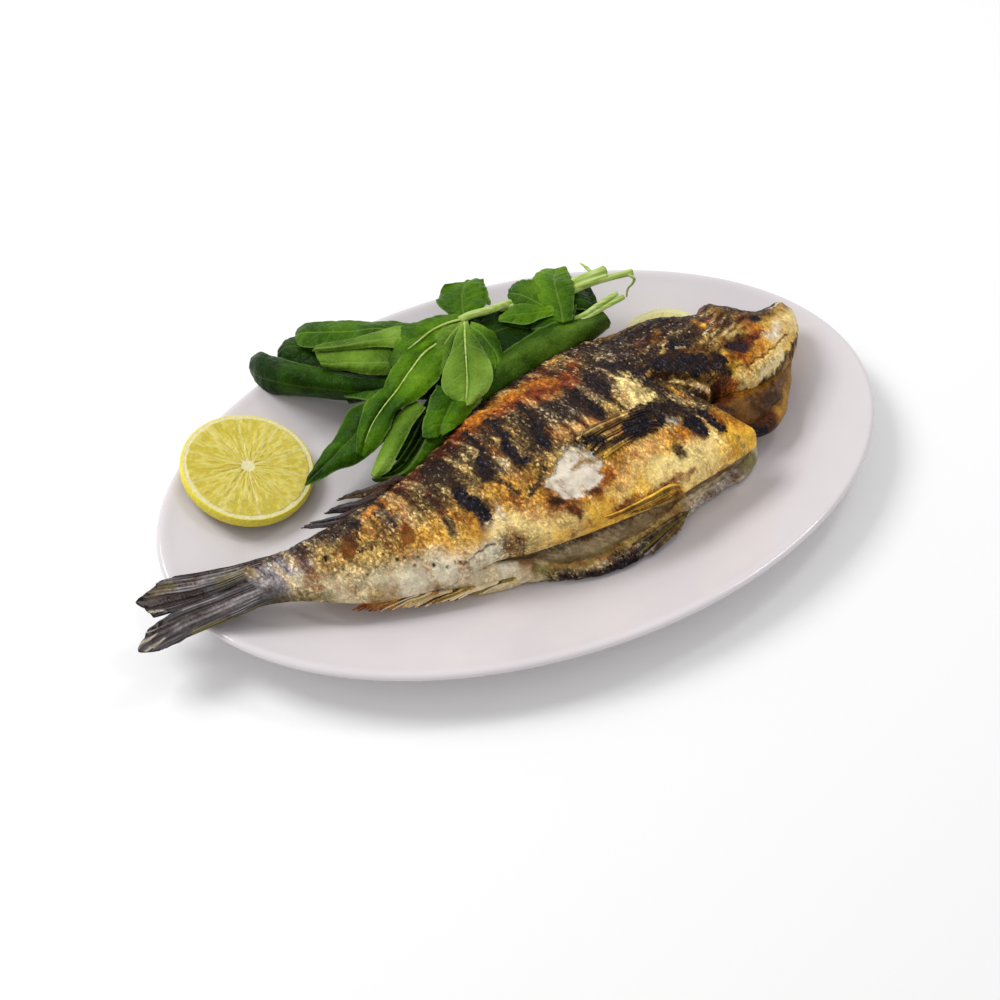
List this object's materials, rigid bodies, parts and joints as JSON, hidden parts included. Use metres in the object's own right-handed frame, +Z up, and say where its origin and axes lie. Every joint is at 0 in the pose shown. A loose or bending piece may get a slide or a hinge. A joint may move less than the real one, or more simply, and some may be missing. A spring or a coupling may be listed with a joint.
{
  "type": "whole grilled fish",
  "caption": "A whole grilled fish, gutted, with head, fins and tail on, lying on its side on an oval plate with a bunch of salad leaves and lemon slices.",
  "frame": {"origin": "centre of the whole dish, on the surface that the plate's foot ring stands on", "axes": "+X along the plate's long axis towards the fish's head, +Y away from the belly towards the salad leaves, +Z up"},
  "size_m": [0.3616, 0.221, 0.0508],
  "materials": {
    "porcelain": "smooth glossy off-white glaze",
    "grilled_skin": "grilled fish skin, golden to charred, slightly oily",
    "lemon": "wet juicy pulp inside a yellow rind",
    "salad_leaf": "fresh green leaf, satin with pale veins"
  },
  "bodies": {
    "root": {"plate": "porcelain", "fish": "grilled_skin", "lemon_slice_front": "lemon", "lemon_slice_back": "lemon", "rocket_bunch": "salad_leaf"}
  },
  "joints": []
}
